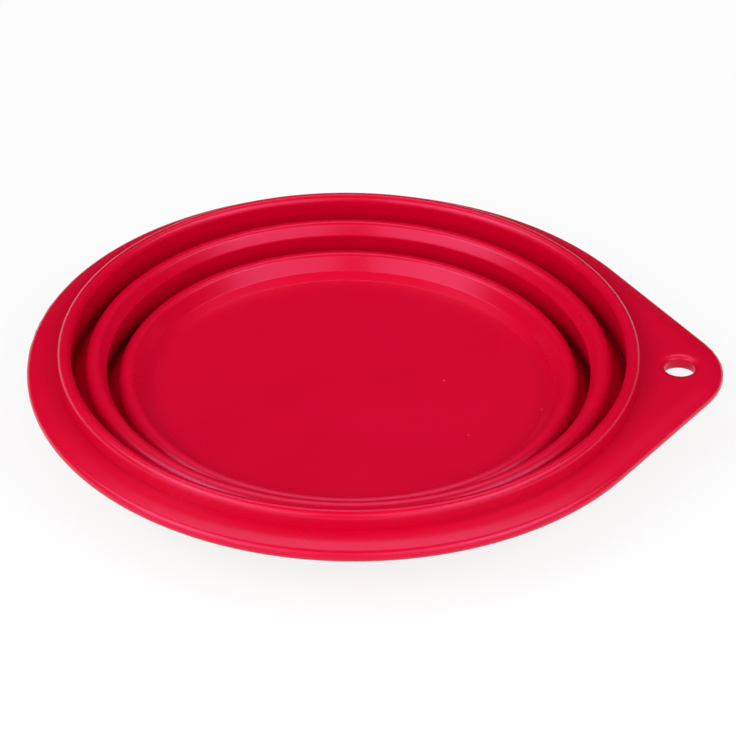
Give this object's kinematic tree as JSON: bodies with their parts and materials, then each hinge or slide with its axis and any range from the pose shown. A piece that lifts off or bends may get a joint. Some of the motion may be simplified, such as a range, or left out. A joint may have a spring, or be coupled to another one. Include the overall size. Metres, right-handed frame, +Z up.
{
  "type": "collapsible silicone bowl",
  "caption": "Round collapsible silicone bowl: nested rings pull up out of a flat fold, inside a wide rim flange with a hanging tab.",
  "frame": {"origin": "on the bowl's axis, in the plane of the foot ring's underside", "axes": "+Z up along the bowl's axis, +X along the hanging tab"},
  "size_m": [0.1511, 0.1404, 0.0173],
  "materials": {
    "silicone": "satin moulded silicone"
  },
  "bodies": {
    "base": {"floor_disc": "silicone", "lower_wall_ring": "silicone", "lower_fold_web": "silicone"},
    "middle": {"middle_wall_ring": "silicone", "upper_fold_web": "silicone"},
    "upper": {"upper_wall_ring": "silicone", "rim_flange": "silicone", "hang_tab": "silicone"}
  },
  "joints": [
    {"name": "lower_fold", "type": "slide", "parent": "base", "child": "middle", "axis": [0, 0, 1], "range_m": [0, 0.0152], "deforming": ["lower_fold_web"]},
    {"name": "upper_fold", "type": "slide", "parent": "middle", "child": "upper", "axis": [0, 0, 1], "range_m": [0, 0.014], "deforming": ["upper_fold_web"]}
  ]
}
